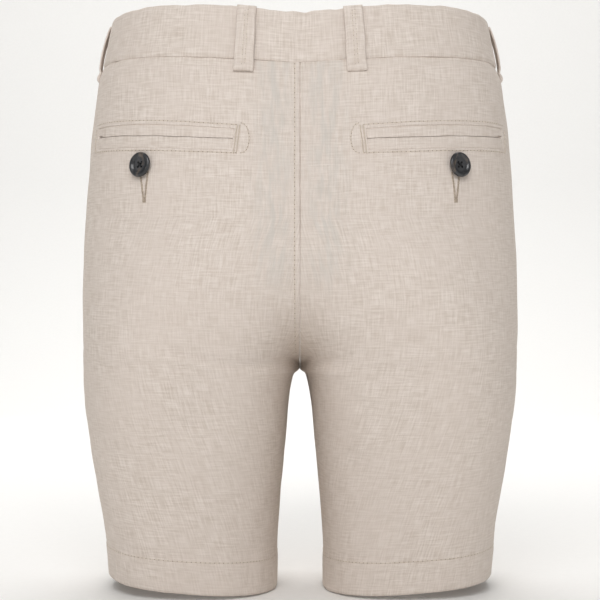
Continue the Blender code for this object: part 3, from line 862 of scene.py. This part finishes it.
# The left front's fly stitching: straight down, then curved in to the centre seam.
fly = [(d, 30) for d in np.linspace(WAIST_SEAM / MM + 1.5, 118, 20)]
fly += [(118 + 29 * math.sin(a), 30 * math.cos(a) ** 0.9) for a in np.linspace(0.05, 1.5, 24)]
add_stitches("fly_stitching", [sewn("front", True, fly)])

# Down the middle of each loop runs the two-needle seam.
for where in ("back", "side", "front"):
    for left in (True, False):
        sign = 1 if left else -1
        rows = []
        for offset in (-0.9, 0.9):
            drops = even_points(np.array([[0.002], [LOOP_END - 0.004]]), 2.6 * MM)[:, 0]
            drops = drops + 0.6 * MM * (offset > 0)
            place, normal = round_waist(sign * LOOP_RUNS[where] + offset * MM, drops)
            lift = loop_lift(drops, where) - 0.12 * MM
            rows.append((place + normal * lift[:, None], normal))
        add_stitches(
            f"belt_loop_{where}_{'left' if left else 'right'}_stitching", rows, radius=0.16 * MM,
            fill=0.7, hole=0.26 * MM,
        )  # fmt: skip


# =============================================================================================
# Buttons
# Imitation horn cast in polyester and turned: a raised rim round a dished face, 15.2 mm across,
# with four holes. Near-black, with smoky grey and brown streaks, and polished.

# Cast polyester, tumbled to a polish: a clear gloss over smoky streaks drawn out along the casting.
horn = bpy.data.materials.new("polished_imitation_horn")
horn.use_nodes = True
tree = horn.node_tree
shader = tree.nodes["Principled BSDF"]
shader.inputs["Roughness"].default_value = 0.3
shader.inputs["IOR"].default_value = 1.55
shader.inputs["Coat Weight"].default_value = 0.3
shader.inputs["Coat Roughness"].default_value = 0.15
place = add_node(
    tree, "Mapping", {0: add_node(tree, "TexCoord").outputs["Object"], "Scale": (1, 1, 0.45)}
)
smoke = add_node(
    tree, "TexNoise", {"Vector": place.outputs[0], "Scale": 170.0, "Detail": 3.0, "Distortion": 1.2}
)
ramp = add_node(tree, "ValToRGB", {0: smoke.outputs[0]})
for at, colour in ((0.42, "#17181b"), (0.55, "#2b2c30"), (0.66, "#54493f"), (0.78, "#6d6a68")):
    stop = ramp.color_ramp.elements.new(at)
    stop.color = linear(colour)
ramp.color_ramp.elements.remove(ramp.color_ramp.elements[0])
ramp.color_ramp.elements.remove(ramp.color_ramp.elements[-1])
tree.links.new(ramp.outputs[0], shader.inputs["Base Color"])

# Waxed button thread: black, with fibres that catch a little light.
black_thread = bpy.data.materials.new("waxed_black_thread")
black_thread.use_nodes = True
tree = black_thread.node_tree
tree.nodes["Principled BSDF"].inputs["Roughness"].default_value = 0.45
fibre = add_node(
    tree, "TexNoise", {"Vector": add_node(tree, "TexCoord").outputs["Object"], "Scale": 2500.0}
)
ramp = add_node(tree, "ValToRGB", {0: fibre.outputs[0]})
ramp.color_ramp.elements[0].color = linear("#0d0d0f")
ramp.color_ramp.elements[1].color = linear("#2a2a2d")
tree.links.new(ramp.outputs[0], tree.nodes["Principled BSDF"].inputs["Base Color"])

BUTTON_RADIUS = 7.6 * MM
BUTTON_THICKNESS = 3.0 * MM
HOLE_PITCH = 2.6 * MM
HOLE_RADIUS = 0.62 * MM


def tube_rings(path, radius):
    """Rings of eight points round a path, square to it."""
    tangent = np.gradient(path, axis=0)
    tangent /= np.linalg.norm(tangent, axis=1, keepdims=True)
    helper = np.array([0.31, 0.27, 0.91])
    first = np.cross(tangent, helper)
    first /= np.linalg.norm(first, axis=1, keepdims=True)
    second = np.cross(tangent, first)
    a = np.linspace(0, 2 * np.pi, 8, endpoint=False)[None, :, None]
    return path[:, None] + radius * (np.cos(a) * first[:, None] + np.sin(a) * second[:, None])


def join_tubes(name, tubes):
    """Closed tubes, each a grid of rings, as one object."""
    points, faces, total = [], [], 0
    for rings in tubes:
        count, around = rings.shape[:2]
        index = np.arange(count * around).reshape(count, around) + total
        after = np.roll(index, -1, axis=1)
        faces += np.stack([index[:-1], after[:-1], after[1:], index[1:]], 2).reshape(-1, 4).tolist()
        faces += [index[0, ::-1].tolist(), index[-1].tolist()]
        points.append(rings.reshape(-1, 3))
        total += count * around
    made = make_mesh(name, np.concatenate(points), faces)
    shell = bmesh.new()
    shell.from_mesh(made.data)
    bmesh.ops.recalc_face_normals(shell, faces=shell.faces)
    shell.to_mesh(made.data)
    shell.free()
    return made


def button(node, thread_name):
    """A profile turned round the button's axis, given as pairs of radius and height, smoothed by
    arc length, then four holes cut through it, and the whole set on its CAD node's place."""
    corners = np.array([tuple(v.co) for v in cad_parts[node].data.vertices])
    centre = corners.mean(axis=0)
    _, _, axes = np.linalg.svd(corners - centre, full_matrices=False)
    normal = Vector(axes[2])
    if normal.y * centre[1] < 0:
        normal.negate()
    heights = (corners - centre) @ np.array(normal)
    foot = Vector(centre) + normal * float(heights.min())
    r, t = BUTTON_RADIUS, BUTTON_THICKNESS
    profile = np.array([
        (0, 0.56 * t), (0.3 * r, 0.57 * t), (0.52 * r, 0.61 * t), (0.62 * r, 0.7 * t),
        (0.69 * r, 0.88 * t), (0.76 * r, 0.97 * t), (0.84 * r, t), (0.92 * r, 0.94 * t),
        (0.98 * r, 0.76 * t), (r, 0.58 * t), (0.97 * r, 0.4 * t), (0.9 * r, 0.22 * t),
        (0.78 * r, 0.06 * t), (0.6 * r, 0), (0, 0),
    ])  # fmt: skip
    run = run_along(profile)
    fine = np.linspace(0, run[-1], 70)
    padded = [np.pad(np.interp(fine, run, c), 1, "edge") for c in profile.T]
    radius, height = (np.convolve(c, [0.25, 0.5, 0.25], "valid") for c in padded)
    radius[0] = radius[-1] = 0.02 * MM
    a = np.linspace(0, 2 * np.pi, 96, endpoint=False)
    flat = [radius[:, None] * f(a) for f in (np.cos, np.sin)]
    rings = np.stack([*flat, height[:, None] + 0 * a], -1)
    turn = normal.to_track_quat("Z", "Y").to_matrix()
    rings = rings @ np.array(turn).T + np.array(foot)
    body = capped_tube(f"{node}_horn", rings, np.zeros((*rings.shape[:2], 2)))
    drill = bmesh.new()
    offsets = (-HOLE_PITCH / 2, HOLE_PITCH / 2)
    holes = [Vector((x, y, 0)) for x in offsets for y in offsets]
    for at in holes:
        made = bmesh.ops.create_cone(
            drill, cap_ends=True, segments=20, radius1=HOLE_RADIUS, radius2=HOLE_RADIUS, depth=4 * t
        )
        for vert in made["verts"]:
            vert.co = turn @ (vert.co + at) + foot
    cutter = bpy.data.objects.new("drill", bpy.data.meshes.new("drill"))
    drill.to_mesh(cutter.data)
    drill.free()
    bpy.context.scene.collection.objects.link(cutter)
    cut = body.modifiers.new("holes", "BOOLEAN")
    cut.object = cutter
    bpy.context.view_layer.update()
    body.data = bpy.data.meshes.new_from_object(
        body.evaluated_get(bpy.context.evaluated_depsgraph_get())
    )
    body.modifiers.clear()
    bpy.data.objects.remove(cutter)
    body.data.materials.clear()
    body.data.materials.append(horn)
    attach(body, "root")
    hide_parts(node)
    # Thread: three strands along each diagonal, over the face from hole to hole, and the shank.
    strands = []
    for first, last in ((holes[0], holes[3]), (holes[1], holes[2])):
        way = (last - first).normalized()
        aside = way.cross(Vector((0, 0, 1)))
        for k, offset in enumerate((-0.26, 0, 0.26)):
            s = np.linspace(-1.0, 1.0, 15)
            arch = (0.60 + 0.16 * (k == 1) + 0.1 * (first is holes[1])) * t
            dive = arch - (abs(s) - 0.86) * 5 * t
            z = np.where(abs(s) < 0.86, arch + 0.05 * t * (1 - s**2), dive)
            flat = np.outer(s * (last - first).length / 2, way) + offset * MM * np.array(aside)
            path = flat + np.outer(z, (0, 0, 1)) + np.array((first + last) / 2)
            strands.append(tube_rings(path @ np.array(turn).T + np.array(foot), 0.17 * MM))
    shank = np.outer(np.linspace(0.3 * t, -1.3 * MM, 6), (0, 0, 1))
    strands.append(tube_rings(shank @ np.array(turn).T + np.array(foot), 0.9 * MM))
    thread = join_tubes(thread_name, strands)
    thread.data.materials.append(black_thread)
    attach(thread, "root")
    return foot, normal


button("pocket_button_left", "pocket_button_left_thread")
button("pocket_button_right", "pocket_button_right_thread")
button("waistband_button", "waistband_button_thread")


# =============================================================================================
# Buttonholes
# One upright worked buttonhole below each pocket, through which its button is fastened. Close
# purl stitches in taupe thread bind both edges, which gape under the button and meet in a tack.

# Buttonhole twist: a thicker polyester thread, laid in close purls that show as a fine grain.
taupe = bpy.data.materials.new("taupe_buttonhole_twist")
taupe.use_nodes = True
tree = taupe.node_tree
tree.nodes["Principled BSDF"].inputs["Roughness"].default_value = 0.7
fibre = add_node(
    tree, "TexNoise", {"Vector": add_node(tree, "TexCoord").outputs["Object"], "Scale": 1400.0}
)
ramp = add_node(tree, "ValToRGB", {0: fibre.outputs[0]})
for stop, at, colour in zip(ramp.color_ramp.elements, (0.35, 0.65), ("#a0907f", "#cdbfae")):
    stop.position, stop.color = at, linear(colour)
tree.links.new(ramp.outputs[0], tree.nodes["Principled BSDF"].inputs["Base Color"])

BUTTON_DROP = WAIST_SEAM + 63.5 * MM
BUTTON_INWARD = 97.5 * MM


def buttonhole(left):
    """Each edge is a row of short thread arcs square to the slit, every 0.55 mm. The half gap
    runs from 2.4 mm under the button to nothing 19 mm below its centre."""
    tubes = []
    s = np.linspace(0, 1, 34)
    centre_r = BUTTON_INWARD - 1.3 * MM - 0.6 * MM * s
    drop = BUTTON_DROP + 4 * MM + 15.5 * MM * s
    gap = 2.3 * MM * (1 - s) ** 1.2 + 0.12 * MM
    for edge in (-1, 1):
        for d, c, g in zip(drop, centre_r, gap):
            u = np.linspace(0, 1, 6)
            r = c + edge * (g + u * 1.15 * MM)
            place, normal = on_form("back", d + 0 * u, r, left)
            lift = relief("back", left, d + 0 * u, r) + 0.28 * MM * np.sin(np.pi * u) - 0.05 * MM
            tubes.append(tube_rings(place + normal * lift[:, None], 0.2 * MM))
    for k in range(5):
        u = np.linspace(-1, 1, 6)
        below_slit = drop[-1] + (0.5 + 0.45 * k) * MM
        place, normal = on_form("back", below_slit, centre_r[-1] + u * 1.2 * MM, left)
        lift = relief("back", left, drop[-1] + 0 * u, centre_r[-1] + 0 * u) + 0.25 * MM * (1 - u**2)
        tubes.append(tube_rings(place + normal * lift[:, None], 0.22 * MM))
    made = join_tubes(f"buttonhole_{'left' if left else 'right'}_twist", tubes)
    made.data.materials.append(taupe)
    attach(made, "root")
    return made


for left in (True, False):
    buttonhole(left)


# =============================================================================================
# Fly zip
# A closed coil zip on woven tape, sewn behind the centre front seam.

def fly_zip():
    """Two tapes as one strip behind the front panels, and a helix of coil down their middle."""
    drops = np.linspace(WAIST_SEAM + 1 * MM, WAIST_SEAM + 100 * MM, 60)[:, None]
    across = np.linspace(-11, 11, 23)[None, :] * MM
    place, normal = on_form("front", drops, abs(across))
    place = place * np.where(across < 0, -1, 1)[..., None] ** np.array([1, 0, 0])
    normal = normal * np.where(across < 0, -1, 1)[..., None] ** np.array([1, 0, 0])
    outer = place - normal * 2.1 * MM
    uv = np.stack(np.broadcast_arrays(across + 2.5, drops), -1)
    tape = wall_mesh("fly_zip_tape", outer, outer - normal * 0.6 * MM, uv, True)
    tape.data.materials.append(linen_material("woven_zip_tape", "#cfc2ae", "#c6b8a3", "#d6cab8"))
    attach(tape, "root")
    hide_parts("fly_zip")
    s = np.linspace(0, 1, 1200)
    down = WAIST_SEAM + 2 * MM + 96 * MM * s
    place, normal = on_form("front", down, 0 * down)
    turn = 2 * np.pi * 72 * s
    place = place - normal * (3.3 * MM + 0.55 * MM * np.cos(turn))[:, None]
    place[:, 0] = 2.2 * MM * np.sin(turn)
    coil = join_tubes("fly_zip_coil", [tube_rings(place, 0.3 * MM)])
    # Nylon monofilament, dyed to match: smooth, with a soft gloss.
    nylon = bpy.data.materials.new("nylon_zip_coil")
    nylon.use_nodes = True
    shader = nylon.node_tree.nodes["Principled BSDF"]
    shader.inputs["Roughness"].default_value = 0.35
    grain = add_node(
        nylon.node_tree, "TexNoise",
        {"Vector": add_node(nylon.node_tree, "TexCoord").outputs["Object"], "Scale": 600.0},
    )
    ramp = add_node(nylon.node_tree, "ValToRGB", {0: grain.outputs[0]})
    ramp.color_ramp.elements[0].color = linear("#b9aa94")
    ramp.color_ramp.elements[1].color = linear("#d0c3af")
    nylon.node_tree.links.new(ramp.outputs[0], shader.inputs["Base Color"])
    coil.data.materials.append(nylon)
    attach(coil, "root")


fly_zip()


# =============================================================================================
# Studio
# A pale seamless paper sweep under and behind the shorts, broad soft light from above the camera,
# and weaker light from both sides.

# Background paper: uncoated, so quite matt, with a faint pulp grain.
paper = bpy.data.materials.new("matt_background_paper")
paper.use_nodes = True
shader = paper.node_tree.nodes["Principled BSDF"]
shader.inputs["Roughness"].default_value = 0.95
grain = add_node(
    paper.node_tree, "TexNoise",
    {"Vector": add_node(paper.node_tree, "TexCoord").outputs["Object"], "Scale": 300.0},
)
tone = add_node(
    paper.node_tree, "Mix", {0: grain.outputs[0], 6: linear("#e9e8e6"), 7: linear("#eeedeb")},
    data_type="RGBA",
)
paper.node_tree.links.new(tone.outputs[2], shader.inputs["Base Color"])

FLOOR = float(cad_box[0][2]) - 0.4 * MM
a = np.linspace(0, np.pi / 2, 24)
profile = np.concatenate([
    [(4.0, FLOOR)],
    np.stack([-1.6 - 0.9 * np.sin(a), FLOOR + 0.9 - 0.9 * np.cos(a)], 1),
    [(-2.5, 4.0)],
])  # fmt: skip
xs = np.linspace(-4, 4, 9)
sweep = np.stack(
    [
        np.broadcast_to(xs[None, :], (len(profile), len(xs))),
        np.broadcast_to(profile[:, :1], (len(profile), len(xs))),
        np.broadcast_to(profile[:, 1:], (len(profile), len(xs))),
    ],
    -1,
)
index = np.arange(sweep.shape[0] * sweep.shape[1]).reshape(sweep.shape[:2])
quads = np.stack([index[:-1, :-1], index[:-1, 1:], index[1:, 1:], index[1:, :-1]], 2).reshape(-1, 4)
floor = make_mesh("paper_sweep", sweep.reshape(-1, 3), quads)
floor.data.materials.append(paper)


def soft_box(name, at, towards, size, watts):
    """A square area light, aimed at a point."""
    lamp = bpy.data.lights.new(name, "AREA")
    lamp.shape = "SQUARE"
    lamp.size = size
    lamp.energy = watts
    made = bpy.data.objects.new(name, lamp)
    made.location = at
    made.rotation_euler = (Vector(towards) - Vector(at)).to_track_quat("-Z", "Y").to_euler()
    bpy.context.scene.collection.objects.link(made)


aim = (0, 0, -0.15)
soft_box("key", (0.15, 1.7, 0.95), aim, 1.2, 22.6)
soft_box("left_fill", (1.6, 0.9, 0.2), aim, 1.0, 1.6)
soft_box("right_fill", (-1.6, 0.9, 0.2), aim, 1.0, 1.6)
soft_box("front_fill", (0.0, -1.5, 1.1), aim, 1.2, 8)
soft_box("backdrop_light", (0.0, -0.9, 1.9), (0, -2.3, 0.0), 1.5, 34)
world = bpy.data.worlds.new("studio")
world.use_nodes = True
world.node_tree.nodes["Background"].inputs[0].default_value = linear("#f4f3f1")
world.node_tree.nodes["Background"].inputs[1].default_value = 0.36
bpy.context.scene.world = world
bpy.context.scene.view_settings.view_transform = "Standard"

camera = bpy.data.objects.new("camera", bpy.data.cameras.new("camera"))
camera.data.sensor_width = 36
camera.data.lens = 108.15
camera.location = (0, 1.15, -0.1608)
camera.rotation_euler = (math.pi / 2, 0, math.pi)
bpy.context.scene.collection.objects.link(camera)
bpy.context.scene.camera = camera

bpy.context.view_layer.update()
